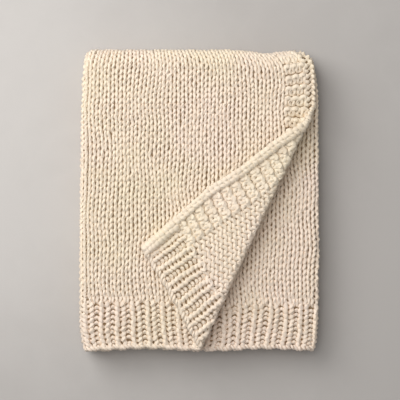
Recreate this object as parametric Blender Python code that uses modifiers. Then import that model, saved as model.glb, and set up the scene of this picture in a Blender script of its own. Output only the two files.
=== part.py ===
"""A chunky knit blanket, folded in three across its width, then in two along its length, with one corner
of the top layer turned back. The whole cloth is one sheet, so it is one solid.

+X is to the right, +Y runs up to the folded end, -Y to the hems, and +Z is up. The cloth lies on z = 0.
"""

import math

import bmesh
import bpy

# Driving dimensions, in metres.
CLOTH_THICKNESS = 0.011
LAYER_PITCH = 0.013
FOLDED_HALF_WIDTH = 0.253
TURN_CENTRE_Y = 0.2813
HIDDEN_EDGE_INSET = 0.002
# How far round the turn the uneven outline is read, in layer pitches. The inner two layers share a radius,
# so that the tight fold between them stays open.
INNER_OUTLINE_PITCHES = 1.0
OUTER_OUTLINE_PITCHES = 2.5

# The corner that is turned back: the outer edge of its crease runs between two points of the top layer,
# and its tip lands on a third.
CREASE_TOP = (0.2506, 0.2104)
CREASE_FOOT = (0.0061, -0.3082)
FLAP_TIP = (-0.1202, -0.1012)
CREASE_RADIUS = 0.0120
FLAP_SETTLES_OVER = 0.20

# The stack's outline: at each y, its left fold, its right fold and the free edge of the top third,
# as that edge lay before its corner was turned back.
OUTLINE_COLUMNS = {"y": 0, "left": 1, "right": 2, "free": 3}
OUTLINE = (
    (0.3190, -0.2390, 0.2330, 0.2150),
    (0.3010, -0.2435, 0.2390, 0.2365),
    (0.2840, -0.2455, 0.2430, 0.2450),
    (0.2530, -0.2477, 0.2490, 0.2475),
    (0.2000, -0.2500, 0.2525, 0.2495),
    (0.0400, -0.2520, 0.2530, 0.2498),
    (-0.1000, -0.2535, 0.2535, 0.2498),
    (-0.2230, -0.2535, 0.2525, 0.2498),
    (-0.2740, -0.2510, 0.2490, 0.2498),
    (-0.3000, -0.2465, 0.2450, 0.2490),
    (-0.3080, -0.2440, 0.2425, 0.2485),
    (-0.3200, -0.2370, 0.2375, 0.2480),
)
# The bottom layer's free edge keeps to the stack, this far inside its right fold.
LOWER_EDGE_INSET = 0.004

# Where each third's two hems end, by the third's place in the folded pack: the top third is the outermost.
TOP_THIRD_LAYER = 2
HEM_COLUMNS = {"upper": 1, "lower": 2}
HEMS = (
    (0.0, -0.3157, -0.3142),
    (1.0, -0.3170, -0.3162),
    (2.0, -0.3147, -0.3157),
)

# Steps of the mesh: across the cloth by stretch, and along it by stretch. The top third has finer steps at
# the foot of the crease: each row gives a fraction of the way to the left fold and the steps up to it.
TOP_THIRD_STEPS = (
    (0.4056, 11),
    (0.5300, 9),
    (1.0000, 6),
)
LEFT_FOLD_STEPS = 8
MIDDLE_THIRD_STEPS = 10
RIGHT_FOLD_STEPS = 6
INNER_THIRD_STEPS = 10
FLAP_STEPS = 4
CREASE_STEPS = 5
FLAT_STEPS = 7
TURN_STEPS = 8
LOWER_STEPS = 7
LEAST_STEP = 0.004

# How much the stack sinks towards its edges, and how its top rolls, as shares of its height.
EDGE_SINK = 0.035
ROLL = 0.012
ROLL_LENGTH_X = 0.33
ROLL_LENGTH_Y = 0.41

# The folded end dips a little at one place, and the hems wave.
DIP_X = 0.155
DIP_WIDTH = 0.055
DIP_DEPTH = 0.0075
HEM_WAVE = 0.0024
HEM_WAVE_LENGTH = 0.25
HEM_WAVE_PEAK_X = 0.138
WAVES_END_Y = 0.12

YARN_COLOUR = (0.80, 0.71, 0.57, 1.0)
YARN_ROUGHNESS = 0.9

LAYERS_IN_PACK = 3
PACK_BASE_Z = CLOTH_THICKNESS / 2
TURN_CENTRE_Z = PACK_BASE_Z + (LAYERS_IN_PACK - 0.5) * LAYER_PITCH
TOP_LAYER_Z = PACK_BASE_Z + (2 * LAYERS_IN_PACK - 1) * LAYER_PITCH
LEFT_FOLD_RADIUS = LAYER_PITCH
RIGHT_FOLD_RADIUS = LAYER_PITCH / 2
MID_HALF_WIDTH = FOLDED_HALF_WIDTH - CLOTH_THICKNESS / 2
LEFT_FOLD_X = -MID_HALF_WIDTH + LEFT_FOLD_RADIUS
RIGHT_FOLD_X = MID_HALF_WIDTH - RIGHT_FOLD_RADIUS


def mix(start, end, share):
    return start + (end - start) * share


def eased(share):
    """0 to 1 with level ends."""
    held = min(max(share, 0.0), 1.0)
    return held * held * (3.0 - 2.0 * held)


def read_table(table, key, column):
    """The column's value at a key, on straight lines between the table's rows."""
    rows = sorted(table)
    if key <= rows[0][0]:
        return rows[0][column]
    for before, after in zip(rows, rows[1:]):
        if key <= after[0]:
            share = (key - before[0]) / (after[0] - before[0])
            return mix(before[column], after[column], share)
    return rows[-1][column]


def outline(y, column):
    return read_table(OUTLINE, y, OUTLINE_COLUMNS[column])


def hem_y(layer, half):
    return read_table(HEMS, layer, HEM_COLUMNS[half])


def crease_frame():
    """A point on the crease's axis, the direction down along it, and the one out of the flat cloth."""
    run_x = CREASE_FOOT[0] - CREASE_TOP[0]
    run_y = CREASE_FOOT[1] - CREASE_TOP[1]
    length = math.hypot(run_x, run_y)
    down = (run_x / length, run_y / length)
    out = (-down[1], down[0])
    inset = CREASE_RADIUS + CLOTH_THICKNESS / 2
    start = (CREASE_TOP[0] - inset * out[0], CREASE_TOP[1] - inset * out[1])
    return start, down, out


CREASE_START, CREASE_DOWN, CREASE_OUT = crease_frame()
CREASE_CLOTH = math.pi * CREASE_RADIUS


def beyond_crease(x, y):
    """How far a point of the flat top layer lies beyond the crease's axis."""
    return (x - CREASE_START[0]) * CREASE_OUT[0] + (y - CREASE_START[1]) * CREASE_OUT[1]


def flap_step():
    """Where one metre beyond the crease lands once turned back: found from the corner and the tip."""
    corner_y = hem_y(TOP_THIRD_LAYER, "upper")
    corner = (outline(corner_y, "free") - CLOTH_THICKNESS / 2, corner_y)
    out = beyond_crease(*corner)
    foot = (corner[0] - out * CREASE_OUT[0], corner[1] - out * CREASE_OUT[1])
    reach = out - CREASE_CLOTH
    return ((FLAP_TIP[0] - foot[0]) / reach, (FLAP_TIP[1] - foot[1]) / reach)


FLAP_STEP = flap_step()


def section_points():
    """The cloth's section across its width, from free edge to free edge: (x, layer, is it the top third)."""
    points = []
    start = MID_HALF_WIDTH
    for fraction, steps in TOP_THIRD_STEPS:
        end = mix(MID_HALF_WIDTH, LEFT_FOLD_X, fraction)
        points += [(mix(start, end, step / steps), TOP_THIRD_LAYER, True) for step in range(steps)]
        start = end
    for step in range(LEFT_FOLD_STEPS):
        angle = math.pi * step / LEFT_FOLD_STEPS
        points.append((LEFT_FOLD_X - LEFT_FOLD_RADIUS * math.sin(angle), 1.0 + math.cos(angle), False))
    for step in range(MIDDLE_THIRD_STEPS):
        share = step / MIDDLE_THIRD_STEPS
        points.append((mix(LEFT_FOLD_X, RIGHT_FOLD_X, share), 0.0, False))
    for step in range(RIGHT_FOLD_STEPS):
        angle = math.pi * step / RIGHT_FOLD_STEPS
        x = RIGHT_FOLD_X + RIGHT_FOLD_RADIUS * math.sin(angle)
        points.append((x, 0.5 - 0.5 * math.cos(angle), False))
    for step in range(INNER_THIRD_STEPS + 1):
        share = step / INNER_THIRD_STEPS
        points.append((mix(RIGHT_FOLD_X, LEFT_FOLD_X + HIDDEN_EDGE_INSET, share), 1.0, False))
    return points


def upper_rows(x, layer, on_top_third):
    """The y of each row of the mesh from the upper hem to the turn.

    On the top third they follow the crease."""
    count = FLAP_STEPS + CREASE_STEPS + FLAT_STEPS
    hem = hem_y(layer, "upper")
    even = [mix(hem, TURN_CENTRE_Y, row / count) for row in range(count + 1)]
    if not on_top_third:
        return even
    axis_y = CREASE_START[1] + (x - CREASE_START[0]) * CREASE_DOWN[1] / CREASE_DOWN[0]
    landed_y = axis_y + CREASE_CLOTH / CREASE_OUT[1]
    rows = [mix(hem, landed_y, row / FLAP_STEPS) for row in range(FLAP_STEPS)]
    rows += [mix(landed_y, axis_y, row / CREASE_STEPS) for row in range(CREASE_STEPS)]
    rows += [mix(axis_y, TURN_CENTRE_Y, row / FLAT_STEPS) for row in range(FLAT_STEPS + 1)]
    follow = eased((x - LEFT_FOLD_X) / (CREASE_FOOT[0] - LEFT_FOLD_X))
    for row in range(1, count):
        held = max(rows[row], hem + row * LEAST_STEP)
        rows[row] = mix(even[row], held, follow)
    rows[0] = hem
    return rows


def cloth_rows(x, layer, on_top_third):
    """All rows as (y of the turn's centre or of the flat cloth, angle round the turn)."""
    up = math.pi / 2
    rows = [(y, up) for y in upper_rows(x, layer, on_top_third)[:-1]]
    rows += [(TURN_CENTRE_Y, up - math.pi * step / TURN_STEPS) for step in range(TURN_STEPS)]
    hem = hem_y(layer, "lower")
    rows += [(mix(TURN_CENTRE_Y, hem, step / LOWER_STEPS), -up) for step in range(LOWER_STEPS + 1)]
    return rows


def height_share(x, y):
    """The stack's height here, as a share of its full height."""
    half_length = hem_y(TOP_THIRD_LAYER, "upper")
    sink = EDGE_SINK * ((x / FOLDED_HALF_WIDTH) ** 4 + (y / half_length) ** 4) / 2
    wave_x = math.sin(2 * math.pi * x / ROLL_LENGTH_X + 1.0)
    wave_y = math.sin(2 * math.pi * y / ROLL_LENGTH_Y + 0.4)
    return 1.0 - sink + ROLL * wave_x * wave_y


def settled_z(x, y, z):
    return PACK_BASE_Z + (z - PACK_BASE_Z) * height_share(x, y)


def right_side(y, on_top_third, upper):
    """The right side of a layer: a fold, or the free edge, which keeps to the stack underneath."""
    fold = outline(y, "right")
    if not on_top_third:
        return fold
    free = outline(y, "free")
    if upper:
        return free
    return mix(fold - LOWER_EDGE_INSET, free, eased(y / WAVES_END_Y))


def outline_radius(layer):
    return mix(INNER_OUTLINE_PITCHES, OUTER_OUTLINE_PITCHES, eased(layer - 1.0)) * LAYER_PITCH


def flat_place(x, y, outline_y, on_top_third, upper):
    """The plan of a point of the stack, once its uneven outline is given to it."""
    left = outline(outline_y, "left") + CLOTH_THICKNESS / 2
    right = right_side(outline_y, on_top_third, upper) - CLOTH_THICKNESS / 2
    placed_x = mix(left, right, (x + MID_HALF_WIDTH) / (2 * MID_HALF_WIDTH))
    dip = DIP_DEPTH * math.exp(-(((placed_x - DIP_X) / DIP_WIDTH) ** 2))
    wave = HEM_WAVE * math.cos(2 * math.pi * (placed_x - HEM_WAVE_PEAK_X) / HEM_WAVE_LENGTH)
    near_fold = eased((y - WAVES_END_Y) / (TURN_CENTRE_Y - WAVES_END_Y))
    near_hem = eased((-y - WAVES_END_Y) / (TURN_CENTRE_Y - WAVES_END_Y))
    return placed_x, y - dip * near_fold + wave * near_hem


def turned_back(x, y):
    """Where a point of the top layer lies once the corner is turned back over the crease."""
    out = beyond_crease(x, y)
    foot_x = x - out * CREASE_OUT[0]
    foot_y = y - out * CREASE_OUT[1]
    if out <= CREASE_CLOTH:
        reach = max(out, 0.0) / CREASE_RADIUS
        aside = min(out, 0.0) + CREASE_RADIUS * math.sin(reach)
        lift = CREASE_RADIUS * (1.0 - math.cos(reach))
        placed_x = foot_x + aside * CREASE_OUT[0]
        placed_y = foot_y + aside * CREASE_OUT[1]
    else:
        reach = out - CREASE_CLOTH
        placed_x = foot_x + reach * FLAP_STEP[0]
        placed_y = foot_y + reach * FLAP_STEP[1]
        lift = mix(2 * CREASE_RADIUS, LAYER_PITCH, eased(reach / FLAP_SETTLES_OVER))
    return placed_x, placed_y, settled_z(placed_x, placed_y, TOP_LAYER_Z) + lift


def cloth_point(x, layer, on_top_third, row_y, angle):
    radius = (layer + 0.5) * LAYER_PITCH
    z = TURN_CENTRE_Z + radius * math.sin(angle)
    upper = z > TURN_CENTRE_Z
    y = row_y + radius * math.cos(angle)
    outline_y = row_y + outline_radius(layer) * math.cos(angle)
    placed_x, placed_y = flat_place(x, y, outline_y, on_top_third, upper)
    if on_top_third and upper and beyond_crease(placed_x, placed_y) > 0.0:
        return turned_back(placed_x, placed_y)
    return placed_x, placed_y, settled_z(placed_x, placed_y, z)


def knit_material():
    material = bpy.data.materials.new("cream yarn")
    material.use_nodes = True
    shader = material.node_tree.nodes["Principled BSDF"]
    shader.inputs["Base Color"].default_value = YARN_COLOUR
    shader.inputs["Roughness"].default_value = YARN_ROUGHNESS
    shader.inputs["Metallic"].default_value = 0.0
    return material


def folded_mesh():
    """A flat grid of the cloth, each point of it moved to where it lies once folded."""
    sections = section_points()
    columns = [
        [cloth_point(*section, *row) for row in cloth_rows(*section)] for section in sections
    ]
    across = len(columns) - 1
    along = len(columns[0]) - 1
    cloth = bmesh.new()
    bmesh.ops.create_grid(cloth, x_segments=across, y_segments=along, size=1.0)
    for point in cloth.verts:
        column = round((point.co.x + 1.0) / 2.0 * across)
        row = round((point.co.y + 1.0) / 2.0 * along)
        point.co = columns[column][row]
    mesh = bpy.data.meshes.new("blanket")
    cloth.to_mesh(mesh)
    cloth.free()
    return mesh


def make_blanket(collection):
    blanket = bpy.data.objects.new("blanket", folded_mesh())
    collection.objects.link(blanket)
    blanket.data.materials.append(knit_material())
    thickness = blanket.modifiers.new("cloth thickness", "SOLIDIFY")
    thickness.thickness = CLOTH_THICKNESS
    thickness.offset = 0.0
    thickness.use_even_offset = True
    return blanket


def clear_scene():
    for item in list(bpy.data.objects):
        bpy.data.objects.remove(item, do_unlink=True)


def main():
    clear_scene()
    collection = bpy.data.collections.new("chunky_knit_blanket")
    bpy.context.scene.collection.children.link(collection)
    make_blanket(collection)


main()
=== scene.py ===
# %% [markdown]
# A chunky knit blanket, folded and lying on a table. It is one knitted sheet, so everything that shows is
# yarn, in about four and a half thousand stitches. The lesson follows the order in which the real thing comes
# about. First the sheet is folded, then stitches are laid on it, and then the yarn gets its finish.

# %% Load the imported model
import math

import bpy
import numpy as np
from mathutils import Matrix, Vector


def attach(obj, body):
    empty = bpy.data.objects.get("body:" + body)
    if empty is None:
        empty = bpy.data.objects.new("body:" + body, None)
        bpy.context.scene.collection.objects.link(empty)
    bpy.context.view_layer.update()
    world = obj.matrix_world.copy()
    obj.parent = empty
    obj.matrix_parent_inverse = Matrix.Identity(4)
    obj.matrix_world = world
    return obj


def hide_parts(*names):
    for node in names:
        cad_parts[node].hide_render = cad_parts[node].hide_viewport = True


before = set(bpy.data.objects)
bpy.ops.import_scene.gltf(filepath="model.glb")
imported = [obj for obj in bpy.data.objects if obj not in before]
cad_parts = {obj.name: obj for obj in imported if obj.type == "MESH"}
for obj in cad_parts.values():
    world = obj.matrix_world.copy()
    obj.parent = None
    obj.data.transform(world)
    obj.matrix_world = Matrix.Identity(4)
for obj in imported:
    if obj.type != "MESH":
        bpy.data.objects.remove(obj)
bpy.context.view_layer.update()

# %% [markdown]
# The camera looks straight down, from far enough away that the sides of the stack hardly show. The picture is
# 0.8432 m wide at the height that is sharp. A four hundredth part of that, 2.108 mm, is the unit in which the
# outline below was measured.

# %% Camera
PICTURE_WIDTH = 0.8432
CAMERA_HEIGHT = 3.2
SHARP_HEIGHT = 0.06
SENSOR_WIDTH = 36.0
CAMERA_CENTRE = (0.0010, 0.0)

bpy.ops.object.camera_add(location=(*CAMERA_CENTRE, CAMERA_HEIGHT), rotation=(0.0, 0.0, 0.0))
camera = bpy.context.object
camera.name = "camera"
camera.data.sensor_width = SENSOR_WIDTH
camera.data.lens = SENSOR_WIDTH * (CAMERA_HEIGHT - SHARP_HEIGHT) / PICTURE_WIDTH
bpy.context.scene.camera = camera
print("lens", round(camera.data.lens, 1), "mm")

# %% [markdown]
# The blanket's own sizes come next. It is folded in three across its width and then in two along its length,
# and the lower right corner of the top layer is turned back. These are the sizes that the folded solid has.

# %% Sizes of the folded cloth
CLOTH_THICKNESS = 0.011
LAYER_PITCH = 0.013
FOLDED_HALF_WIDTH = 0.253
TURN_CENTRE_Y = 0.2813
HIDDEN_EDGE_INSET = 0.002
CLOTH_LENGTH = 1.27

CREASE_TOP = np.array((0.2506, 0.2104))
CREASE_FOOT = np.array((0.0061, -0.3082))
FLAP_TIP = np.array((-0.1202, -0.1012))
CREASE_RADIUS = 0.0120
FLAP_SETTLES_OVER = 0.20
# The turned corner's free side bows out by this much, which fades over this distance from it.
FLAP_BOW = 0.010
FLAP_BOW_FADES_OVER = 0.20
# Beside the crease the layers below sink a little, because the top layer no longer holds them down evenly.
SAG_DEPTH = 0.013
SAG_WIDTH = 0.014
SAG_BESIDE = 0.021
SAG_END_Y = 0.21
SAG_GROWS_OVER = 0.12

# Each row: y, then the left fold, the right fold and the top layer's free edge there.
OUTLINE = np.array((
    (-0.3200, -0.2370, 0.2375, 0.2480),
    (-0.3080, -0.2440, 0.2425, 0.2485),
    (-0.3000, -0.2465, 0.2450, 0.2490),
    (-0.2740, -0.2510, 0.2490, 0.2498),
    (-0.2230, -0.2535, 0.2525, 0.2498),
    (-0.1000, -0.2535, 0.2535, 0.2498),
    (0.0400, -0.2520, 0.2530, 0.2498),
    (0.2000, -0.2500, 0.2525, 0.2495),
    (0.2530, -0.2477, 0.2490, 0.2475),
    (0.2840, -0.2455, 0.2430, 0.2450),
    (0.3010, -0.2435, 0.2390, 0.2365),
    (0.3190, -0.2390, 0.2330, 0.2150),
))
LEFT, RIGHT, FREE = 1, 2, 3
LOWER_EDGE_INSET = 0.004

# Each row: the layer, then the y of its hem in the upper half and in the lower half of the stack.
HEMS = np.array((
    (0.0, -0.3157, -0.3142),
    (1.0, -0.3170, -0.3162),
    (2.0, -0.3147, -0.3157),
))
UPPER, LOWER = 1, 2
TOP_HEM_Y = HEMS[-1, UPPER]

EDGE_SINK = 0.035
ROLL = 0.012
ROLL_LENGTH_X = 0.33
ROLL_LENGTH_Y = 0.41
ROLL_START_X = 1.0
ROLL_START_Y = 0.4
DIP_X = 0.155
DIP_WIDTH = 0.055
DIP_DEPTH = 0.0075
HEM_WAVE = 0.0024
HEM_WAVE_LENGTH = 0.25
HEM_WAVE_PEAK_X = 0.138
WAVES_END_Y = 0.12

LAYERS_IN_PACK = 3
PACK_BASE_Z = CLOTH_THICKNESS / 2
TURN_CENTRE_Z = PACK_BASE_Z + (LAYERS_IN_PACK - 0.5) * LAYER_PITCH
TOP_LAYER_Z = PACK_BASE_Z + (2 * LAYERS_IN_PACK - 1) * LAYER_PITCH
MID_HALF_WIDTH = FOLDED_HALF_WIDTH - CLOTH_THICKNESS / 2
LEFT_FOLD_X = -MID_HALF_WIDTH + LAYER_PITCH
RIGHT_FOLD_X = MID_HALF_WIDTH - LAYER_PITCH / 2

# Lengths of the section across the cloth, from the top layer's free edge to the hidden free edge.
TOP_THIRD = MID_HALF_WIDTH - LEFT_FOLD_X
LEFT_FOLD = math.pi * LAYER_PITCH
MIDDLE_THIRD = RIGHT_FOLD_X - LEFT_FOLD_X
RIGHT_FOLD = math.pi * LAYER_PITCH / 2
INNER_THIRD = RIGHT_FOLD_X - LEFT_FOLD_X - HIDDEN_EDGE_INSET
STATIONS = np.cumsum((0.0, TOP_THIRD, LEFT_FOLD, MIDDLE_THIRD, RIGHT_FOLD, INNER_THIRD))
CLOTH_WIDTH = float(STATIONS[-1])
print("flat cloth", round(CLOTH_WIDTH, 3), "by", CLOTH_LENGTH, "m")


# %% [markdown]
# Folding can be done with a cloth simulation, but a neat stack of six layers is easier to get right with a
# rule: a point of the flat cloth goes to one place of the folded one. The rule has two steps. Across the
# cloth it runs through three thirds and the two folds between them. Along the cloth the whole pack turns over
# once. All of it works on arrays, so one call folds thousands of points.

# %% The section across the cloth, and the way along it
def eased(share):
    held = np.clip(share, 0.0, 1.0)
    return held * held * (3.0 - 2.0 * held)


def section(across):
    """x and layer of points at these distances across the cloth."""
    start_fold, end_fold, start_turn, end_turn = STATIONS[1:5]
    left_angle = (across - start_fold) / LAYER_PITCH
    right_angle = (across - start_turn) / (LAYER_PITCH / 2)
    stretches = [across < start_fold, across < end_fold, across < start_turn, across < end_turn]
    x = np.select(stretches, [
        MID_HALF_WIDTH - across,
        LEFT_FOLD_X - LAYER_PITCH * np.sin(left_angle),
        LEFT_FOLD_X + across - end_fold,
        RIGHT_FOLD_X + LAYER_PITCH / 2 * np.sin(right_angle),
    ], RIGHT_FOLD_X - (across - end_turn))
    layer = np.select(stretches, [
        2.0 + 0.0 * across,
        1.0 + np.cos(left_angle),
        0.0 * across,
        0.5 - 0.5 * np.cos(right_angle),
    ], 1.0)
    return x, layer


def way_along(along, layer):
    """y of the flat cloth or of the turn's centre, and the angle round the turn."""
    turn = math.pi * (layer + 0.5) * LAYER_PITCH
    upper_hem = np.interp(layer, HEMS[:, 0], HEMS[:, UPPER])
    lower_hem = np.interp(layer, HEMS[:, 0], HEMS[:, LOWER])
    hem = np.where(along < 0.0, upper_hem, lower_hem)
    stretch = (TURN_CENTRE_Y - hem) / (CLOTH_LENGTH / 2 - turn / 2)
    row_y = TURN_CENTRE_Y - np.maximum(np.abs(along) - turn / 2, 0.0) * stretch
    angle = np.clip(-along / (turn / 2), -1.0, 1.0) * math.pi / 2
    return row_y, angle


# %% [markdown]
# A real stack is never square. Its outline wanders, its folded end dips at one place, its hems are wavy, and
# it is a little lower towards the edges. These are small shifts on top of the rule.

# %% The stack's uneven outline and height
def outline(y, column):
    return np.interp(y, OUTLINE[:, 0], OUTLINE[:, column])


def height_share(x, y):
    """How much of its height the stack keeps at a place."""
    sink = EDGE_SINK * ((x / FOLDED_HALF_WIDTH) ** 4 + (y / TOP_HEM_Y) ** 4) / 2
    wave_x = np.sin(2 * math.pi * x / ROLL_LENGTH_X + ROLL_START_X)
    wave_y = np.sin(2 * math.pi * y / ROLL_LENGTH_Y + ROLL_START_Y)
    return 1.0 - sink + ROLL * wave_x * wave_y


def settled_z(x, y, z):
    return PACK_BASE_Z + (z - PACK_BASE_Z) * height_share(x, y)


def plan(x, y, outline_y, top_third, upper):
    """x and y once the uneven outline is given to them."""
    fold = outline(outline_y, RIGHT)
    free = outline(outline_y, FREE)
    under = fold - LOWER_EDGE_INSET + (free - fold + LOWER_EDGE_INSET) * eased(outline_y / WAVES_END_Y)
    right = np.where(top_third, np.where(upper, free, under), fold) - CLOTH_THICKNESS / 2
    left = outline(outline_y, LEFT) + CLOTH_THICKNESS / 2
    placed_x = left + (right - left) * (x + MID_HALF_WIDTH) / (2 * MID_HALF_WIDTH)
    dip = DIP_DEPTH * np.exp(-(((placed_x - DIP_X) / DIP_WIDTH) ** 2))
    wave = HEM_WAVE * np.cos(2 * math.pi * (placed_x - HEM_WAVE_PEAK_X) / HEM_WAVE_LENGTH)
    near_fold = eased((y - WAVES_END_Y) / (TURN_CENTRE_Y - WAVES_END_Y))
    near_hem = eased((-y - WAVES_END_Y) / (TURN_CENTRE_Y - WAVES_END_Y))
    return placed_x, y - dip * near_fold + wave * near_hem


corner_height = height_share(FOLDED_HALF_WIDTH, TOP_HEM_Y)
print("at its lower right corner the stack keeps", round(float(corner_height), 3), "of its height")

# %% [markdown]
# The corner is turned back over a crease. Up to the crease the cloth lies as it did, over the crease it goes
# round a small cylinder, and past it each point comes down on the other side. Where the corner lands sets how
# much the knit is squeezed and skewed there. Two more things happen when a hand turns a corner back: its free
# side bows out a little, and beside the crease the layers below sink, which makes the dark gap there.

# %% The turned corner
CREASE_DOWN = (CREASE_FOOT - CREASE_TOP) / np.linalg.norm(CREASE_FOOT - CREASE_TOP)
CREASE_OUT = np.array((-CREASE_DOWN[1], CREASE_DOWN[0]))
CREASE_START = CREASE_TOP - (CREASE_RADIUS + CLOTH_THICKNESS / 2) * CREASE_OUT
CREASE_SQUARENESS = 7.0
CREASE_POINTS = 200

# The crease is not quite round: its section is a little square, so that the corner turns over sharply.
half_turn = np.linspace(0.0, math.pi, CREASE_POINTS)
CREASE_ASIDE = CREASE_RADIUS * np.abs(np.sin(half_turn)) ** (2 / CREASE_SQUARENESS)
upward = np.sign(np.cos(half_turn)) * np.abs(np.cos(half_turn)) ** (2 / CREASE_SQUARENESS)
CREASE_LIFT = CREASE_RADIUS * (1 - upward)
CREASE_LENGTH = np.concatenate(((0.0,), np.cumsum(np.hypot(np.diff(CREASE_ASIDE), np.diff(CREASE_LIFT)))))
CREASE_CLOTH = float(CREASE_LENGTH[-1])


def beyond_crease(x, y):
    """How far points of the flat top layer lie beyond the crease."""
    return (x - CREASE_START[0]) * CREASE_OUT[0] + (y - CREASE_START[1]) * CREASE_OUT[1]


def sag(x, y, z):
    """How far the layers under the top one sink beside the crease."""
    beside = np.exp(-(((beyond_crease(x, y) - SAG_BESIDE) / SAG_WIDTH) ** 2))
    share = (z - PACK_BASE_Z) / (4 * LAYER_PITCH) * (z < TOP_LAYER_Z - LAYER_PITCH / 2)
    return SAG_DEPTH * beside * eased((SAG_END_Y - y) / SAG_GROWS_OVER) * share


corner = np.array((outline(TOP_HEM_Y, FREE) - CLOTH_THICKNESS / 2, TOP_HEM_Y))
corner_out = float(beyond_crease(*corner))
FLAP_STEP = (FLAP_TIP - (corner - corner_out * CREASE_OUT)) / (corner_out - CREASE_CLOTH)
FLAP_SIDE = (FLAP_TIP - CREASE_TOP) / np.linalg.norm(FLAP_TIP - CREASE_TOP)


def turned_back(x, y):
    """Where points of the flat top layer beyond the crease lie once the corner is turned back."""
    out = beyond_crease(x, y)
    foot_x = x - out * CREASE_OUT[0]
    foot_y = y - out * CREASE_OUT[1]
    aside = np.minimum(out, 0.0) + np.interp(out, CREASE_LENGTH, CREASE_ASIDE)
    reach = np.maximum(out - CREASE_CLOTH, 0.0)
    landed = out > CREASE_CLOTH
    bow = FLAP_BOW * np.sin(math.pi * np.clip(reach / (corner_out - CREASE_CLOTH), 0.0, 1.0))
    bow *= 1.0 - eased((outline(y, FREE) - x) / FLAP_BOW_FADES_OVER)
    landed_x = foot_x + reach * FLAP_STEP[0] + bow * FLAP_SIDE[1]
    landed_y = foot_y + reach * FLAP_STEP[1] - bow * FLAP_SIDE[0]
    placed_x = np.where(landed, landed_x, foot_x + aside * CREASE_OUT[0])
    placed_y = np.where(landed, landed_y, foot_y + aside * CREASE_OUT[1])
    settled = 2 * CREASE_RADIUS + (LAYER_PITCH - 2 * CREASE_RADIUS) * eased(reach / FLAP_SETTLES_OVER)
    lift = np.where(landed, settled, np.interp(out, CREASE_LENGTH, CREASE_LIFT))
    return placed_x, placed_y, settled_z(placed_x, placed_y, TOP_LAYER_Z) + lift


# Round the turn the outline is read this many layer pitches further up, and more for the top third.
OUTLINE_PAST_TURN = 1.0
MORE_FOR_TOP_THIRD = 1.5


def fold(across, along):
    """Where points of the flat cloth lie once it is folded, as an array of x, y, z."""
    x, layer = section(across)
    row_y, angle = way_along(along, layer)
    radius = (layer + 0.5) * LAYER_PITCH
    z = TURN_CENTRE_Z + radius * np.sin(angle)
    y = row_y + radius * np.cos(angle)
    pitches = OUTLINE_PAST_TURN + MORE_FOR_TOP_THIRD * eased(layer - 1.0)
    outline_y = row_y + pitches * LAYER_PITCH * np.cos(angle)
    top_third = across < STATIONS[1]
    upper = z > TURN_CENTRE_Z
    placed_x, placed_y = plan(x, y, outline_y, top_third, upper)
    turned = top_third & upper & (beyond_crease(placed_x, placed_y) > 0.0)
    turned_x, turned_y, turned_z = turned_back(placed_x, placed_y)
    lowered = z - sag(placed_x, placed_y, z)
    flat = np.stack((placed_x, placed_y, settled_z(placed_x, placed_y, lowered)), axis=-1)
    return np.where(turned[..., None], np.stack((turned_x, turned_y, turned_z), axis=-1), flat)


NORMAL_STEP = 0.0008


def fold_with_normal(across, along):
    """The same, with the direction in which the knit's right side faces."""
    side = fold(across + NORMAL_STEP, along) - fold(across - NORMAL_STEP, along)
    up = fold(across, along + NORMAL_STEP) - fold(across, along - NORMAL_STEP)
    facing = np.cross(up, side)
    return fold(across, along), facing / np.linalg.norm(facing, axis=-1, keepdims=True)


print("the turned corner lands at", np.round(fold(np.array(0.0), np.array(-CLOTH_LENGTH / 2)), 3))

# %% [markdown]
# The first piece is the sheet itself: a grid the size of the flat cloth, with each of its points folded, and
# then a thin wall. It stands for the inside of the yarn, and is what one sees deep between the stitches. Its
# dark brown colour is painted shade.

# %% The thin sheet inside the knit
SHEET_COLUMNS = 150
SHEET_ROWS = 120
SHEET_WALL = 0.0016
# The sheet stays this far inside the edges of the knit, so that it doesn't show past them.
SHEET_INSET = 0.009


def deselect_all():
    if bpy.context.object and bpy.context.object.mode != "OBJECT":
        bpy.ops.object.mode_set(mode="OBJECT")
    bpy.ops.object.select_all(action="DESELECT")


def make_sheet():
    deselect_all()
    bpy.ops.mesh.primitive_grid_add(x_subdivisions=SHEET_COLUMNS, y_subdivisions=SHEET_ROWS, size=1.0)
    sheet = bpy.context.object
    sheet.name = "folded_sheet_of_painted_shade"
    points = np.empty(len(sheet.data.vertices) * 3)
    sheet.data.vertices.foreach_get("co", points)
    flat = points.reshape(-1, 3)
    across = CLOTH_WIDTH / 2 - flat[:, 0] * (CLOTH_WIDTH - 2 * SHEET_INSET)
    folded = fold(across, flat[:, 1] * (CLOTH_LENGTH - 2 * SHEET_INSET))
    sheet.data.vertices.foreach_set("co", folded.ravel())
    wall = sheet.modifiers.new("wall", "SOLIDIFY")
    wall.thickness = SHEET_WALL
    wall.offset = 0.0
    bpy.ops.object.modifier_apply(modifier=wall.name)
    bpy.ops.object.shade_smooth()
    print(sheet.name, len(sheet.data.polygons), "faces")
    return sheet


sheet = make_sheet()

# %% [markdown]
# Knitting is rows of loops. A row is one strand that goes up and down through the row below, and seen from
# the right side each loop is a V of two legs. The strand can be drawn by a wave: along the row it goes
# forward and back again, so that the loop is wider than its foot, it rises and falls once for each stitch,
# and twice for each stitch it comes to the front and goes to the back. A purl stitch is the same loop seen
# from behind, so it is the same wave with front and back exchanged.

# %% Rows and patterns of the flat cloth
STITCH_WIDTH = 0.0164
HEM_ROWS = 9
BORDER_STITCHES = 4
EDGE_STITCHES = 1
# Each row: distance from the hem, and the height of a row of knitting from there on.
ROW_HEIGHTS = np.array((
    (0.0, 0.0102),
    (0.090, 0.0127),
    (0.455, 0.0118),
))
# The first row stands this far inside the hem, which leaves room for the cast-on edge.
HEM_INSET = 0.0065


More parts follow.
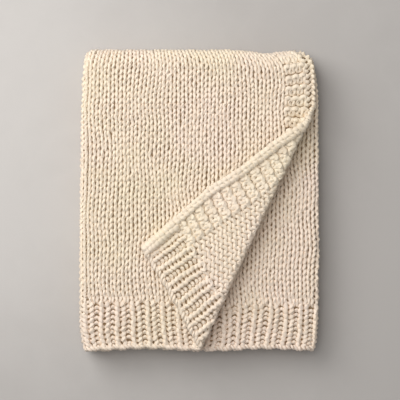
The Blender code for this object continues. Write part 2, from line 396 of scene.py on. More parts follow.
def stitch_rows():
    """Middle and height of every row, along the cloth, the same from both hems."""
    heights = []
    reached = 0.0
    half = CLOTH_LENGTH / 2 - HEM_INSET
    while reached < half:
        heights.append(ROW_HEIGHTS[np.searchsorted(ROW_HEIGHTS[:, 0], reached, side="right") - 1, 1])
        reached += heights[-1]
    heights = np.array(heights) * (half / reached)
    both = np.concatenate((heights, heights[::-1]))
    return np.cumsum(both) - both / 2 - half, both


ROW_AT, ROW_HEIGHT = stitch_rows()
ROWS = len(ROW_AT)
COLUMNS = round(CLOTH_WIDTH / STITCH_WIDTH)
print(COLUMNS, "stitches across,", ROWS, "rows")

# %% [markdown]
# What makes a pattern is which stitches are knit and which are purl. The body is all knit. The hems are
# ribbed, one knit and one purl in turn. Each free side has a garter border, a row of knit and a row of purl
# in turn, so that it lies flat, and outside the border one stitch that is slipped, which makes a chain.

# %% Knit or purl
HEM_EDGE_STITCHES = 2


def from_hem(row):
    """How many rows lie between a row and the nearer hem."""
    return np.minimum(row, ROWS - 1 - row)


def stitch_sides():
    """1 for a knit stitch and -1 for a purl one, and how much each stitch is ribbed, garter or edge."""
    row, column = np.indices((ROWS + 1, COLUMNS))
    side_column = np.minimum(column, COLUMNS - 1 - column)
    border = (side_column < BORDER_STITCHES) & (side_column >= EDGE_STITCHES)
    hem = from_hem(row) < HEM_ROWS
    ribbed = hem & (side_column >= HEM_EDGE_STITCHES)
    edge = side_column < np.where(hem, HEM_EDGE_STITCHES, EDGE_STITCHES)
    sides = np.ones(row.shape)
    sides[border & ~hem & (row % 2 == 1)] = -1.0
    sides[ribbed & (column % 2 == 0)] = -1.0
    sides[edge] = -1.0
    return sides, ribbed.astype(float), (border & ~hem).astype(float), edge.astype(float)


# They have one row more than the cloth, because each loop also needs to know the stitch above it.
SIDES, RIBBED, GARTER, EDGE = stitch_sides()
print(int((SIDES[:ROWS] > 0.0).sum()), "knit and", int((SIDES[:ROWS] < 0.0).sum()), "purl stitches")

# %% [markdown]
# In ribbing the stitches that face the viewer swell and crowd the others into narrow grooves, so the columns
# of a hem are not equally wide. Cloth that is seen from its wrong side does that too, with the two kinds
# exchanged, so the code asks which side is seen. Two edge stitches close a hem at each side, and those at the
# top layer's free side are narrow.

# %% Width of each stitch
RIB_SWELL = 0.44
# In a hem, stitches at the first distance from the top layer's free side are shifted towards it by this much.
# The shift fades up to the second distance.
DRAWN_IN = 0.009
DRAWN_FROM = 0.035
DRAWN_UP_TO = 0.24


def seen_side():
    """1 where the right side faces the viewer, and -1 on the turned corner, at an even stitch width."""
    row, column = np.indices((ROWS, COLUMNS))
    across = (column + 0.5) * CLOTH_WIDTH / COLUMNS
    along = ROW_AT[row]
    x, layer = section(across)
    row_y = way_along(along, layer)[0]
    upper = along < 0.0
    plan_x, plan_y = plan(x, row_y, row_y, across < STATIONS[1], upper)
    beyond = beyond_crease(plan_x, plan_y) > CREASE_CLOTH / 2
    return np.where((across < STATIONS[1]) & upper & beyond, -1.0, 1.0)


SEEN = seen_side()
# A rib and its groove are seen from the same side.
SEEN[:, 1::2] = SEEN[:, 0:-1:2]
RIB_SWELL_BY_ROW = np.interp(np.arange(ROWS), (HEM_ROWS - 2, HEM_ROWS + 1), (1.0, 0.0))
RIB_SWELL_BY_ROW = np.maximum(RIB_SWELL_BY_ROW, RIB_SWELL_BY_ROW[::-1])


def stitch_columns():
    """Centre and width of every stitch across the cloth, row by row."""
    column = np.arange(COLUMNS)
    turn = np.where(column % 2 == 0, -1.0, 1.0)
    side_column = np.minimum(column, COLUMNS - 1 - column)
    turn[(side_column < HEM_EDGE_STITCHES) | (column >= COLUMNS - 1 - HEM_EDGE_STITCHES)] = 0.0
    swell = RIB_SWELL * RIB_SWELL_BY_ROW[:, None] * turn[None, :] * SEEN
    widths = (1.0 + swell) * STITCH_WIDTH
    widths *= CLOTH_WIDTH / widths.sum(axis=1, keepdims=True)
    sides = np.concatenate((np.zeros((ROWS, 1)), np.cumsum(widths, axis=1)), axis=1)
    drawn = np.interp(sides, (0.0, DRAWN_FROM, DRAWN_UP_TO), (0.0, DRAWN_IN, 0.0))
    sides -= drawn * RIB_SWELL_BY_ROW[:, None]
    return (sides[:, 1:] + sides[:, :-1]) / 2, np.diff(sides, axis=1)


COLUMN_AT, COLUMN_WIDTH = stitch_columns()
print("stitches are", round(COLUMN_WIDTH.min(), 4), "to", round(COLUMN_WIDTH.max(), 4), "m wide")

# %% [markdown]
# Hand-made and machine-made knits alike are a little uneven. A slow wander bends whole columns, and each
# stitch has its own tension. The random numbers have a fixed seed, so each run gives the same blanket.

# %% Unevenness
UNEVEN_SIDE = 0.0006
UNEVEN_RISE = 0.0007
UNEVEN_DEPTH = 0.0004
UNEVEN_FATNESS = 0.07
# How far stitches wander across the cloth and along it, and how fast its waves turn, in radians to the metre.
WANDER = np.array((0.0015, 0.0014))
WAVE_COUNT = 12
SLOWEST_WAVE = 4.0
FASTEST_WAVES = (50.0, 190.0)
STEEPEST_WAVE = 60.0
SEED = 11

dice = np.random.default_rng(SEED)
TENSION = dice.normal(size=(5, ROWS, COLUMNS))
fastest_logs = [math.log(wave) for wave in FASTEST_WAVES]
# How fast each wave runs across the cloth, how fast it runs along it, and where it starts.
WAVES = np.stack((
    np.exp(dice.uniform(math.log(SLOWEST_WAVE), fastest_logs, (WAVE_COUNT, 2))),
    dice.uniform(-STEEPEST_WAVE, STEEPEST_WAVE, (WAVE_COUNT, 2)),
    dice.uniform(0.0, 2 * math.pi, (WAVE_COUNT, 2)),
))


def wander(across, along, which):
    """The shift across the cloth, if which is 0, or along it, if which is 1."""
    by_across, by_along, starts = WAVES[:, :, which]
    angles = across[..., None] * by_across + along[..., None] * by_along + starts
    return WANDER[which] * np.sin(angles).sum(axis=-1) / math.sqrt(WAVE_COUNT / 2)


middle_row = wander(COLUMN_AT[ROWS // 2], np.zeros(COLUMNS), 0)
print("the middle row wanders by up to", round(float(np.abs(middle_row).max()), 4), "m")

# %% [markdown]
# Each kind of stitch has its own proportions. Rib stitches are fat, and those in a groove are short. Garter
# stitches are short too. The wrong side of a plain knit is fuller and flatter than its right side, and on it
# the stitches of the chain at the edge are short and round. The tables hold the rise, as a share of the row's
# height, the fatness of the yarn and the depth of every stitch.

# %% The proportions of each kind of stitch
YARN_RADIUS = 0.00337
LOOP_RISE = 0.82
LOOP_DEPTH = 0.0032
RIB_FATNESS = 0.20
GROOVE_FATNESS = 0.10
GROOVE_RISE = 0.56
GARTER_RISE = 0.62
WRONG_SIDE_FATNESS = 0.26
WRONG_SIDE_DEPTH = 0.85
SECOND_LAYER_FATNESS = 0.05
SECOND_LAYER_DEPTH = 0.8
CHAIN_RISE = 0.45
EDGE_FATNESS = 0.25

faces_viewer = SIDES[:ROWS] * SEEN > 0.0
RISE = LOOP_RISE + (GARTER_RISE - LOOP_RISE) * GARTER[:ROWS]
RISE += (GROOVE_RISE - LOOP_RISE) * RIBBED[:ROWS] * ~faces_viewer
RISE += (CHAIN_RISE - LOOP_RISE) * EDGE[:ROWS] * (SEEN < 0.0)
FATNESS = 1.0 + RIBBED[:ROWS] * np.where(faces_viewer, RIB_FATNESS, GROOVE_FATNESS)
plain_wrong_side = (SEEN < 0.0) & (RIBBED[:ROWS] == 0.0)
past_right_fold = np.arange(COLUMNS) * CLOTH_WIDTH / COLUMNS > STATIONS[4]
plain_second_layer = past_right_fold & (RIBBED[:ROWS] == 0.0)
FATNESS += WRONG_SIDE_FATNESS * plain_wrong_side + SECOND_LAYER_FATNESS * plain_second_layer
FATNESS += EDGE_FATNESS * EDGE[:ROWS]
DEPTH = LOOP_DEPTH * np.where(plain_wrong_side, WRONG_SIDE_DEPTH, 1.0)
DEPTH *= np.where(plain_second_layer, SECOND_LAYER_DEPTH, 1.0)
thickness = 2 * YARN_RADIUS * FATNESS
print("the yarn is", round(thickness.min(), 4), "to", round(thickness.max(), 4), "m thick")

# %% [markdown]
# Now the strand itself. Its path is the wave from above, to which habits of the yarn are added. Legs swell. A
# rib stands up, its legs part, and its strand dips where it crosses to the groove beside it. A garter ridge
# has square shoulders and is plump at its crown. Edge stitches curl towards the wrong side, and on the turned
# corner a narrow groove parts them from the first rib.

# %% The path of a strand
LOOP_SWING = 0.170
LEG_SWELL = 0.04
RIB_RAISE = 0.0010
RIB_RECESS = 0.0008
RIB_LEG_SWELL = 0.20
RIB_SWING = 0.016
RIB_PARTING = 0.03
# Where a rib's strand crosses to the next column, it dips by this much.
RIB_FOOT_DEPTH = 0.0042
GARTER_SQUARENESS = 0.8
GARTER_LEG = 0.92
GARTER_FATNESS = 0.60
CHAIN_LEG_SWELL = 0.34
EDGE_PINCH = 0.10
EDGE_LIFT = 0.0042
EDGE_GROOVE = 0.0125
EDGE_GROOVE_WIDTH = 0.0030
EDGE_PARTING = 0.0012
EDGE_PARTING_WIDTH = 0.0036

# The width of the edge stitches of each row, two of them in a hem and one elsewhere.
hem_rows = from_hem(np.arange(ROWS)) < HEM_ROWS
EDGE_BAND = np.where(hem_rows, COLUMN_WIDTH[:, :HEM_EDGE_STITCHES].sum(axis=1), COLUMN_WIDTH[:, 0])


def in_hem(row):
    return 1.0 if from_hem(row) < HEM_ROWS else 0.0


def strand(row, columns, turn):
    """The strand through some stitches of a row: across, along, height and fatness at each angle of turn.

    columns says which stitch each point belongs to, and turn runs from -pi to pi through that stitch."""
    width = COLUMN_WIDTH[row, columns]
    knit = SIDES[row, columns]
    left = turn < 0.0
    neighbour = np.clip(np.where(left, columns - 1, columns + 1), 0, COLUMNS - 1)
    rib = RIBBED[row, columns]
    garter = GARTER[row, columns]
    edge = EDGE[row, columns]
    seen = SEEN[row, columns]
    raised = knit * seen > 0.0
    turned_hem = in_hem(row) * (seen < 0.0)
    leg = np.sin(turn) ** 2
    crown = (1.0 + np.cos(turn)) / 2
    foot = 1.0 - crown
    side_tension = np.where(left, TENSION[0, row, columns], TENSION[1, row, columns])

    swing = LOOP_SWING + RIB_SWING * rib
    across = COLUMN_AT[row, columns] + width * (turn / (2 * math.pi) + swing * np.sin(2 * turn))
    parting = RIB_PARTING * rib * raised - EDGE_PINCH * edge
    across += (UNEVEN_SIDE * side_tension + parting * width * np.sign(turn)) * leg
    rise_beside = (RISE[row, columns] + RISE[row, neighbour]) / 2
    rise = (rise_beside + (RISE[row, columns] - rise_beside) * crown) * ROW_HEIGHT[row]
    climb = np.cos(turn)
    climb = np.sign(climb) * np.abs(climb) ** (1.0 + (GARTER_SQUARENESS - 1.0) * garter)
    along = ROW_AT[row] + rise * climb + UNEVEN_RISE * TENSION[2, row, columns] * crown

    foot_end = -(knit + SIDES[row, neighbour]) / 2
    head_end = -SIDES[row + 1, columns]
    end = np.where(np.abs(turn) < math.pi / 2, head_end, foot_end)
    depth = (DEPTH[row, columns] + DEPTH[row, neighbour]) / 2
    leg_height = knit * (1.0 + (GARTER_LEG - 1.0) * garter)
    height = depth * (end + (leg_height - end) * leg)
    shift = np.where(raised, RIB_RAISE, -RIB_RECESS)
    height += rib * seen * (shift * (1.0 - foot ** 5) - RIB_FOOT_DEPTH * foot ** 3)
    band_width = EDGE_BAND[row]
    from_side = np.minimum(across, CLOTH_WIDTH - across)
    curl = np.sin(math.pi * np.clip(from_side / band_width, 0.0, 1.0))
    height -= EDGE_LIFT * curl * band_width / EDGE_BAND.min()
    in_groove = np.exp(-(((from_side - band_width) / EDGE_GROOVE_WIDTH) ** 2))
    height += EDGE_GROOVE * turned_hem * in_groove
    height += UNEVEN_DEPTH * TENSION[3, row, columns] * leg

    beside = (FATNESS[row, columns] + FATNESS[row, neighbour]) / 2
    fatness = beside + (FATNESS[row, columns] - beside) * np.clip(crown * 2, 0.0, 1.0)
    swell = LEG_SWELL + RIB_LEG_SWELL * rib * raised + CHAIN_LEG_SWELL * edge * (seen < 0.0)
    fatness = fatness * (1.0 + (swell + UNEVEN_FATNESS * TENSION[4, row, columns]) * leg)
    fatness += GARTER_FATNESS * garter * (1.0 - leg)
    beyond_band = (across - band_width) / EDGE_PARTING_WIDTH
    parted = EDGE_PARTING * turned_hem * beyond_band * np.exp(0.5 - beyond_band ** 2 / 2)
    return across + parted + wander(across, along, 0), along + wander(across, along, 1), height, fatness


one_loop = strand(ROWS // 2, np.full(5, COLUMNS // 2), np.linspace(-math.pi, math.pi, 5))
print("foot, leg, crown, leg and foot of a loop stand at", np.round(one_loop[2], 4))

# %% [markdown]
# A strand is thick, so it is lofted: at each of its points stands a ring, square to the strand, and faces
# join each ring to the next. Blender's curves can do this too, but here a ring can carry the length of yarn
# behind it and the stitch's own tone, which the finish needs. Only stitches that can be seen are made.

# %% Lofting strands into a piece
TABLE_CLEARANCE = 0.0002
# At the crease, and within this reach of it, stitches lose this share of their depth.
CREASE_FLATNESS = 0.75
CREASE_REACH = 0.014


def tube(centre, facing, radius, sides, tone):
    """Rings of points round a path, whose first and last points only give it its direction."""
    # A ring of few points is narrower than its circle, so it is widened until it has the circle's area.
    radius = radius * math.sqrt(2 * math.pi / (sides * math.sin(2 * math.pi / sides)))
    centre[:, 2] = np.maximum(centre[:, 2], radius + TABLE_CLEARANCE)
    heading = np.gradient(centre, axis=0)
    length = np.concatenate(((0.0,), np.cumsum(np.linalg.norm(np.diff(centre, axis=0), axis=1))))
    heading /= np.linalg.norm(heading, axis=1, keepdims=True)
    aside = np.cross(heading, facing)
    aside /= np.linalg.norm(aside, axis=1, keepdims=True)
    upward = np.cross(aside, heading)
    angle = 2 * math.pi * np.arange(sides) / sides
    spokes = np.cos(angle)[None, :, None] * aside[:, None, :]
    spokes = spokes + np.sin(angle)[None, :, None] * upward[:, None, :]
    ring = centre[:, None, :] + radius[:, None, None] * spokes
    return ring[1:-1], length[1:-1], tone[1:-1]


def flattened(across, along):
    """How much of their depth the stitches keep: the crease stretches them flat."""
    x, layer = section(across)
    row_y = way_along(along, layer)[0]
    plan_x, plan_y = plan(x, row_y, row_y, across < STATIONS[1], along < 0.0)
    from_crease = (beyond_crease(plan_x, plan_y) - CREASE_CLOTH / 2) / CREASE_REACH
    on_top = (across < STATIONS[1]) & (along < 0.0)
    return 1.0 - CREASE_FLATNESS * np.exp(-(from_crease ** 2)) * on_top


def rings(row, columns, steps, sides):
    """The tube of the strand that runs through these neighbouring stitches of a row."""
    count = len(columns) * steps + 1
    step = np.arange(-1, count + 1)
    which = np.clip(step // steps, 0, len(columns) - 1)
    turn = (step - which * steps) / steps * 2 * math.pi - math.pi
    own = columns[which]
    across, along, height, fatness = strand(row, own, turn)
    base, facing = fold_with_normal(across, along)
    centre = base + facing * (height * flattened(across, along))[:, None]
    return tube(centre, facing, YARN_RADIUS * fatness, sides, TENSION[4, row, own])


def ring_faces(count, sides):
    """Faces of four points that join each ring to the next."""
    ring = np.arange(count - 1)[:, None] * sides
    here = np.arange(sides)[None, :]
    beside = (here + 1) % sides
    corners = (ring + here, ring + beside, ring + beside + sides, ring + here + sides)
    return np.stack(corners, axis=-1).reshape(-1, 4)


def loft(name, strands):
    """One mesh of many strands, each of them (rings, lengths, tones)."""
    points, quads, coords, tones, ends = [], [], [], [], []
    reached = 0
    for ring, length, tone in strands:
        count, sides = ring.shape[:2]
        points.append(ring.reshape(-1, 3))
        faces = ring_faces(count, sides)
        quads.append(faces + reached)
        along = length[faces // sides]
        around = (faces % sides) / sides
        around[:, 1:3] = np.where(around[:, 1:3] < around[:, :1], 1.0, around[:, 1:3])
        coords.append(np.stack((along, around), axis=-1))
        tones.append(np.repeat(tone, sides))
        ends.append(np.arange(sides)[::-1] + reached)
        ends.append(np.arange(sides) + reached + (count - 1) * sides)
        reached += count * sides
    quads = np.concatenate(quads)
    mesh = bpy.data.meshes.new(name)
    mesh.from_pydata(np.concatenate(points), [], quads.tolist() + [end.tolist() for end in ends])
    yarn_map = mesh.uv_layers.new(name="yarn")
    uv = np.zeros((len(mesh.loops), 2))
    uv[: quads.size] = np.concatenate(coords).reshape(-1, 2)
    yarn_map.data.foreach_set("uv", uv.ravel())
    tone_layer = mesh.attributes.new("tone", "FLOAT", "POINT")
    tone_layer.data.foreach_set("value", np.concatenate(tones))
    mesh.shade_smooth()
    piece = bpy.data.objects.new(name, mesh)
    bpy.context.scene.collection.objects.link(piece)
    print(name, len(strands), "strands", 2 * len(quads), "triangles")
    return piece


# %% [markdown]
# Which stitches can be seen? The whole top layer can, apart from what lies under the turned corner, and so
# can the whole underside, both folds, and the second layer where the corner leaves it bare. Of the layers in
# between, only a margin at the hems and at the folds shows.

# %% Sorting the stitches into pieces
HIDDEN_UNDER_FLAP = 0.024
BARE_MARGIN = 0.034
HEM_MARGIN_ROWS = 3
FOLD_MARGIN = 0.030
# Past this angle the cloth has come round the turn and lies flat in the upper half.
FLAT_ANGLE = 1.5
LOW_ROWS = 31
PIECES = (
    "top_hem_ribbing", "top_knit_near_hem", "top_knit_near_fold", "turned_corner", "second_layer",
    "left_fold", "right_fold", "inner_hems", "underside_near_fold", "underside_near_hem",
)
TOP_HEM, TOP_LOW, TOP_HIGH, TURNED, SECOND = range(5)
LEFT_SIDE, RIGHT_SIDE, INNER_HEMS, UNDER_FOLD, UNDER_HEM = range(5, 10)
NOT_MADE = -1


def inside_flap(x, y):
    """How deep a point lies under the turned corner, measured from its free side and its hem."""
    free_way = (CREASE_TOP - FLAP_TIP) / np.linalg.norm(CREASE_TOP - FLAP_TIP)
    hem_way = (CREASE_FOOT - FLAP_TIP) / np.linalg.norm(CREASE_FOOT - FLAP_TIP)
    from_free = (x - FLAP_TIP[0]) * free_way[1] - (y - FLAP_TIP[1]) * free_way[0]
    from_hem = -(x - FLAP_TIP[0]) * hem_way[1] + (y - FLAP_TIP[1]) * hem_way[0]
    return np.minimum(from_free, from_hem)


def sort_stitches():
    """The number of the piece that each stitch goes to. What is set later overrules what is set before."""
    row, column = np.indices((ROWS, COLUMNS))
    across = COLUMN_AT[row, column]
    along = ROW_AT[row]
    x, layer = section(across)
    row_y, angle = way_along(along, layer)
    place = fold(across, along)
    upper = along < 0.0
    hem_row = from_hem(row)
    start_fold, end_fold, start_turn, end_turn = STATIONS[1:5]
    piece = np.full(row.shape, NOT_MADE)

    middle = (across >= end_fold) & (across < start_turn)
    inner = across >= end_turn
    piece[(middle | inner) & (hem_row < HEM_MARGIN_ROWS)] = INNER_HEMS
    bare = beyond_crease(place[..., 0], place[..., 1]) > -BARE_MARGIN
    bare = bare & (place[..., 1] < CREASE_TOP[1] + BARE_MARGIN)
    piece[inner & upper & bare & (angle > FLAT_ANGLE)] = SECOND
    piece[(across >= start_fold) & (across < end_fold + STITCH_WIDTH)] = LEFT_SIDE
    near_turn = (across >= start_turn - FOLD_MARGIN) & (across < end_turn + FOLD_MARGIN)
    piece[near_turn & (piece != SECOND)] = RIGHT_SIDE

    top = across < start_fold
    piece[top & upper] = TOP_HIGH
    piece[top & upper & (row < LOW_ROWS)] = TOP_LOW
    piece[top & upper & (row < HEM_ROWS)] = TOP_HEM
    piece[top & ~upper] = UNDER_FOLD
    piece[top & ~upper & (hem_row < LOW_ROWS)] = UNDER_HEM
    plan_x, plan_y = plan(x, row_y, row_y, top, upper)
    turned = top & upper & (beyond_crease(plan_x, plan_y) > 0.0)
    buried = top & upper & ~turned & (inside_flap(plan_x, plan_y) > HIDDEN_UNDER_FLAP)
    piece[buried & (row >= HEM_MARGIN_ROWS)] = NOT_MADE
    piece[turned] = TURNED
    return piece


PIECE_OF = sort_stitches()
for number, name in enumerate(PIECES):
    print(name, int((PIECE_OF == number).sum()), "stitches")

# %% [markdown]
# Every unbroken run of visible stitches in a row becomes one strand of its piece. Pieces that are seen from
# close by get more rings and sides for each stitch than the others.

# %% The yarn pieces
# Rings to a stitch, and points to a ring.
FINE = (10, 6)
PLAIN = (8, 5)
FINE_PIECES = (TOP_HEM, TOP_LOW, TOP_HIGH, TURNED, SECOND)


def runs(chosen):
    """Unbroken stretches of a row of True and False, as arrays of indices."""
    found = np.flatnonzero(chosen)
    if not len(found):
        return []
    return np.split(found, np.flatnonzero(np.diff(found) > 1) + 1)


def make_piece(number, name):
    """The piece of that number, lofted from all its strands."""
    steps, sides = FINE if number in FINE_PIECES else PLAIN
    strands = []
    for row in range(ROWS):
        for columns in runs(PIECE_OF[row] == number):
            strands.append(rings(row, columns, steps, sides))
    return loft(name, strands)


yarn_pieces = [make_piece(number, name) for number, name in enumerate(PIECES)]

# %% [markdown]
# The first row hangs on a cast-on edge, and the last one ends in a bind-off. Both look like a cord of two
# strands that twist round each other once for each stitch, so that is how they are made. The cord bulges out
# over each rib and draws in between them.

# %% Cast-on and bind-off edges
CORD_STEPS = 9
CORD_SIDES = 6
CORD_SWING = 0.0030
CORD_RADIUS = 0.0031
CORD_RAISE = 0.0022
CORD_INSET = 0.0060
CORD_SCALLOP = 0.0011
CORD_BULGE = 0.12
# The first bulge, counted in stitches from the side. From there on it bulges at every second stitch.
FIRST_BULGE_AT = 1.5


def cord(end, phase):
    """One of the two strands of the cord along a hem. end is -1 at the first row and 1 at the last one."""
    row = 0 if end < 0 else ROWS - 1
    count = COLUMNS * CORD_STEPS + 1
    at = np.arange(-1, count + 1) / CORD_STEPS
    across = np.interp(at, np.arange(COLUMNS) + 0.5, COLUMN_AT[row])
    twist = 2 * math.pi * at + phase
    over_rib = np.cos(math.pi * (at - FIRST_BULGE_AT))
    along = end * (CLOTH_LENGTH / 2 - CORD_INSET + CORD_SCALLOP * over_rib) + CORD_SWING * np.sin(twist)
    across = across + wander(across, along, 0)
    seen = np.interp(at, np.arange(COLUMNS) + 0.5, SEEN[row])
    height = CORD_SWING * np.cos(twist) + CORD_RAISE * seen - EDGE_LIFT * (at < HEM_EDGE_STITCHES)
    base, facing = fold_with_normal(across, along)
    centre = base + facing * height[:, None]
    radius = CORD_RADIUS * (1.0 + CORD_BULGE * over_rib)
    return tube(centre, facing, radius, CORD_SIDES, np.zeros(at.shape))


strands = [cord(end, phase) for end in (-1, 1) for phase in (0.0, math.pi)]
yarn_pieces.append(loft("cast_on_edges", strands))

# %% [markdown]
# A finish is a small graph of shader nodes. To keep it readable, a value that comes out of a node is wrapped
# in a class that knows how to add, multiply and so on, and each such sign adds one Math node. All other nodes
# come from one method, which sets a node up and feeds its sockets.

# %% Shader values as Python expressions
class Value:
    """An output of a node in a finish. + - * / add Math nodes."""

    def __init__(self, finish, socket):
        self.finish = finish
        self.socket = socket

    def maths(self, operation, *numbers):
        return self.finish.node("ShaderNodeMath", {"operation": operation}, dict(enumerate(numbers)))

    def __add__(self, other):
        return self.maths("ADD", self, other)

    def __sub__(self, other):
        return self.maths("SUBTRACT", self, other)

    def __rsub__(self, other):
        return self.maths("SUBTRACT", other, self)

    def __mul__(self, other):
        return self.maths("MULTIPLY", self, other)

    def __truediv__(self, other):
        return self.maths("DIVIDE", self, other)

    def __abs__(self):
        return self.maths("ABSOLUTE", self)

    def sine(self):
        return self.maths("SINE", self)

    def cosine(self):
        return self.maths("COSINE", self)

    __radd__ = __add__
    __rmul__ = __mul__


class Finish:
    """A material and its graph of nodes."""

    def __init__(self, name):
        self.material = bpy.data.materials.new(name)
        self.material.use_nodes = True
        self.tree = self.material.node_tree
        self.shader = self.tree.nodes["Principled BSDF"]

    def feed(self, socket, value):
        if isinstance(value, Value):
            self.tree.links.new(value.socket, socket)
        else:
            socket.default_value = value

    def node(self, kind, settings, inputs, output=0):
        made = self.tree.nodes.new(kind)
        for name, setting in settings.items():
            setattr(made, name, setting)
        for name, value in inputs.items():
            self.feed(made.inputs[name], value)
        return Value(self, made.outputs[output])

    def noise(self, place, scale, detail):
        """Soft noise from 0 to 1 with its middle at a half."""
        inputs = {"Vector": place, "Scale": scale, "Detail": detail}
        return self.node("ShaderNodeTexNoise", {}, inputs)

    def mixed(self, factor, first, second):
        """From the first colour, at a factor of 0, to the second."""
        inputs = {0: factor, 6: first, 7: second}
        return self.node("ShaderNodeMix", {"data_type": "RGBA"}, inputs, 2)

    def bumped(self, height):
        """A surface that stands up by so many metres."""
        inputs = {"Height": height, "Distance": 1.0, "Strength": 1.0}
        return self.node("ShaderNodeBump", {}, inputs)

    def on_object(self):
        return self.node("ShaderNodeTexCoord", {}, {}, "Object")

    def shaded(self, **sockets):
        """The material, once its shader's sockets are fed."""
        for name, value in sockets.items():
            self.feed(self.shader.inputs[name.replace("_", " ").title()], value)
        return self.material


# %% [markdown]
# The yarn is soft wool: three strands twisted together, each a loose bundle of fibres. The twist and the
# fibres follow the yarn, so they read the map in which one direction is the length of yarn and the other goes
# round it. Noise on the cosine and sine of the angle has no seam. The colour of cream wool is never quite
# even. It drifts between a yellower and a pinker cream over a hand's breadth, pinker towards the hems, and
# it is deeper on some stitches. Shade is painted into it too: it is deeper between the plies, and deeper
# where the fibres dip, which also gives them streaks. A little sheen gives the pale edge of fuzz.

# %% The yarn's finish
PLY_COUNT = 3
PLY_PITCH = 0.034
PLY_DEPTH = 0.0009
FIBRE_DEPTH = 0.00022
FIBRES_ROUND = 4.2
FIBRES_ALONG = 130.0
FIBRE_SCALE = 2.0
DRIFT_SCALE = 7.0
DRIFT_STRENGTH = 2.6

YELLOW_CREAM = (0.850, 0.735, 0.560, 1.0)
PINK_CREAM = (0.890, 0.742, 0.625, 1.0)
DEEP_CREAM_AND_SHADE = (0.690, 0.550, 0.405, 1.0)
# Shares of the pink cream: everywhere, and what is added to it from one y to the other.
PINK_SHARE = 0.4
PINKER_SHARE = 0.45
PINKER_BELOW_Y = -0.14
PINKEST_AT_Y = -0.31
# Shares of the deep cream: everywhere, between the plies (painted shade), where the fibres dip (painted shade
# and streaks) and by the stitch's tone.
EVEN_SHARE = 0.06
PLY_SHADE_SHARE = 0.22
FIBRE_SHADE_AND_STREAK_SHARE = 0.55
TONE_SHARE = 0.10

LEAST_ROUGHNESS = 0.86
FIBRE_ROUGHNESS = 0.14
SHEEN = 0.12
SHEEN_ROUGHNESS = 0.6


def yarn_finish():
    finish = Finish("cream wool yarn")
    yarn_map = finish.node("ShaderNodeUVMap", {"uv_map": "yarn"}, {})
    along = finish.node("ShaderNodeSeparateXYZ", {}, {"Vector": yarn_map}, "X")
    around = finish.node("ShaderNodeSeparateXYZ", {}, {"Vector": yarn_map}, "Y")
    angle = 2 * math.pi * (around + along / PLY_PITCH)
    plies = abs((angle * (PLY_COUNT / 2)).sine())
    round_yarn = {
        "X": angle.cosine() * FIBRES_ROUND,
        "Y": angle.sine() * FIBRES_ROUND,
        "Z": along * FIBRES_ALONG,
    }
    fibre_place = finish.node("ShaderNodeCombineXYZ", {}, round_yarn)
    fibres = finish.noise(fibre_place, scale=FIBRE_SCALE, detail=3.0)

    tone = finish.node("ShaderNodeAttribute", {"attribute_name": "tone"}, {}, "Fac")
    place = finish.on_object()
    drift = finish.noise(place, scale=DRIFT_SCALE, detail=2.0)
    limits = {
        "Value": finish.node("ShaderNodeSeparateXYZ", {}, {"Vector": place}, "Y"),
        "From Min": PINKER_BELOW_Y,
        "From Max": PINKEST_AT_Y,
        "To Max": PINKER_SHARE,
    }
    towards_hems = finish.node("ShaderNodeMapRange", {}, limits)
    pinkness = (drift - 0.5) * DRIFT_STRENGTH + PINK_SHARE + towards_hems
    wool = finish.mixed(pinkness, YELLOW_CREAM, PINK_CREAM)
    # Painted shade: the colour deepens between the plies and where the fibres dip, and also by the stitch's
    # tone.
    depth = (1.0 - plies) * PLY_SHADE_SHARE + (0.5 - fibres) * FIBRE_SHADE_AND_STREAK_SHARE + tone * TONE_SHARE + EVEN_SHARE
    colour = finish.mixed(depth, wool, DEEP_CREAM_AND_SHADE)
    height = plies * PLY_DEPTH + fibres * FIBRE_DEPTH
    return finish.shaded(
        base_color=colour,
        roughness=LEAST_ROUGHNESS + fibres * FIBRE_ROUGHNESS,
        normal=finish.bumped(height),
        sheen_weight=SHEEN,
        sheen_roughness=SHEEN_ROUGHNESS,
    )


yarn = yarn_finish()
for piece in yarn_pieces:
    piece.data.materials.append(yarn)
print(yarn.name, "has", len(yarn.node_tree.nodes), "nodes")

# %% [markdown]
# The sheet inside is only seen deep between stitches, where the wool is in its own shade. That shade is
# painted into the sheet's colour, a dark brown with a coarse tangle of fibres.

# %% The painted shade of the inside
# The two dark browns are painted shade, the shade deep between the stitches.
DARK_PAINTED_SHADE = (0.18, 0.108, 0.052, 1.0)
LIGHTER_PAINTED_SHADE = (0.30, 0.205, 0.112, 1.0)
TANGLE_SCALE = 420.0
TANGLE_DEPTH = 0.0012


def painted_gap_shade_finish():
    finish = Finish("painted shade in the gaps")
    tangle = finish.noise(finish.on_object(), scale=TANGLE_SCALE, detail=3.0)
    # Painted shade, mottled by the tangle.
    colour = finish.mixed(tangle, DARK_PAINTED_SHADE, LIGHTER_PAINTED_SHADE)
    return finish.shaded(base_color=colour, roughness=0.95, normal=finish.bumped(tangle * TANGLE_DEPTH))


sheet.data.materials.append(painted_gap_shade_finish())
print(sheet.name, "has the finish", sheet.data.materials[0].name)

# %% [markdown]
# The blanket lies on a pale plaster surface, grey with a little warmth, trowelled by hand. A pool of light is
# painted into its colour, palest at one place and greyer away from it. It is also cloudy over a few hands'
# breadths, and it has faint trowel marks and a fine grain.

# %% Floor
PALE_PLASTER_AND_PAINTED_LIGHT = (0.535, 0.508, 0.482, 1.0)
GREY_PLASTER_AND_PAINTED_SHADE = (0.448, 0.422, 0.399, 1.0)
# Painted light: palest at this place, up to the first distance from it, and greyest from the second one on.
PAINTED_LIGHT_CENTRE = (-0.40, 0.10, 0.0)
PAINTED_LIGHT_FADES_FROM = 0.08
PAINTED_LIGHT_FADES_TO = 0.68

CLOUD_SCALE = 3.2
CLOUD_SHARE = 0.8
CLOUD_DEPTH = 0.0012
MARK_SCALE = 9.0
MARK_CONTRAST = 7.0
MARK_SHARE = 0.12
GRAIN_SCALE = 240.0
GRAIN_SHARE = 0.15
GRAIN_DEPTH = 0.00012

LEAST_PLASTER_ROUGHNESS = 0.85
CLOUD_ROUGHNESS = 0.1
FLOOR_SIZE = 12.0


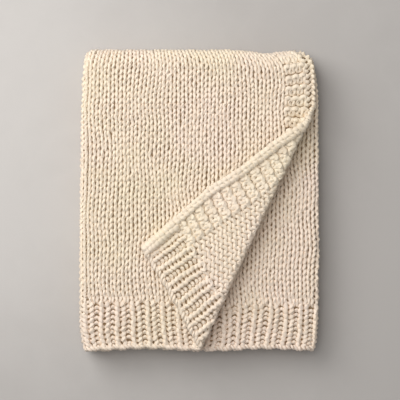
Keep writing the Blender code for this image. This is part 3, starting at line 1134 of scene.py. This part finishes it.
def plaster_finish():
    finish = Finish("plaster with a painted pool of light")
    place = finish.on_object()
    clouds = finish.noise(place, scale=CLOUD_SCALE, detail=5.0)
    marks = abs(finish.noise(place, scale=MARK_SCALE, detail=6.0) - 0.5) * MARK_CONTRAST
    grain = finish.noise(place, scale=GRAIN_SCALE, detail=3.0)
    # Painted light: the colour is palest round one place and greyer away from it.
    away = finish.node("ShaderNodeVectorMath", {"operation": "DISTANCE"}, {0: place, 1: PAINTED_LIGHT_CENTRE}, "Value")
    limits = {"Value": away, "From Min": PAINTED_LIGHT_FADES_FROM, "From Max": PAINTED_LIGHT_FADES_TO}
    painted_light_falloff = finish.node("ShaderNodeMapRange", {"interpolation_type": "SMOOTHSTEP"}, limits)
    uneven = (clouds - 0.5) * CLOUD_SHARE + (marks - 0.5) * MARK_SHARE + (grain - 0.5) * GRAIN_SHARE
    colour = finish.mixed(painted_light_falloff + uneven, PALE_PLASTER_AND_PAINTED_LIGHT, GREY_PLASTER_AND_PAINTED_SHADE)
    height = clouds * CLOUD_DEPTH + grain * GRAIN_DEPTH
    roughness = LEAST_PLASTER_ROUGHNESS + clouds * CLOUD_ROUGHNESS
    return finish.shaded(base_color=colour, roughness=roughness, normal=finish.bumped(height))


bpy.ops.mesh.primitive_plane_add(size=FLOOR_SIZE, location=(0.0, 0.0, 0.0))
floor = bpy.context.object
floor.name = "floor"
floor.data.materials.append(plaster_finish())
print("the floor is", FLOOR_SIZE, "m square")

# %% [markdown]
# The light is a plain soft studio light. A large soft lamp stands at the upper left and gives the shadows at
# the right and below their wide soft edge. A second one, almost overhead on the same side, keeps the shadows
# open, and a white surround fills the rest.

# %% Light
def softbox(name, azimuth, elevation, distance, size, power):
    """A square lamp that looks at the middle of the scene."""
    azimuth, elevation = math.radians(azimuth), math.radians(elevation)
    flat = math.cos(elevation)
    place = distance * Vector((flat * math.cos(azimuth), flat * math.sin(azimuth), math.sin(elevation)))
    bpy.ops.object.light_add(type="AREA", location=place)
    lamp = bpy.context.object
    lamp.name = name
    lamp.data.shape = "SQUARE"
    lamp.data.size = size
    lamp.data.energy = power
    lamp.rotation_euler = (-place).to_track_quat("-Z", "Y").to_euler()
    print(name, "stands at", [round(v, 2) for v in place])


softbox("key_softbox", azimuth=140, elevation=42, distance=2.6, size=2.0, power=56.0)
softbox("overhead_softbox", azimuth=140, elevation=80, distance=3.6, size=1.6, power=41.0)
FILL = 0.305

bpy.context.scene.view_settings.view_transform = "Standard"
world = bpy.data.worlds.new("studio")
bpy.context.scene.world = world
world.use_nodes = True
world.node_tree.nodes["Background"].inputs["Color"].default_value = (1.0, 1.0, 1.0, 1.0)
world.node_tree.nodes["Background"].inputs["Strength"].default_value = FILL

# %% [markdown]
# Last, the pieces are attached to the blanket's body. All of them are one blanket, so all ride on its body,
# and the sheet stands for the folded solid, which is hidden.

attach(sheet, "root")
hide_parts("blanket")
for piece in yarn_pieces:
    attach(piece, "root")
print("one sheet and", len(yarn_pieces), "pieces of yarn")
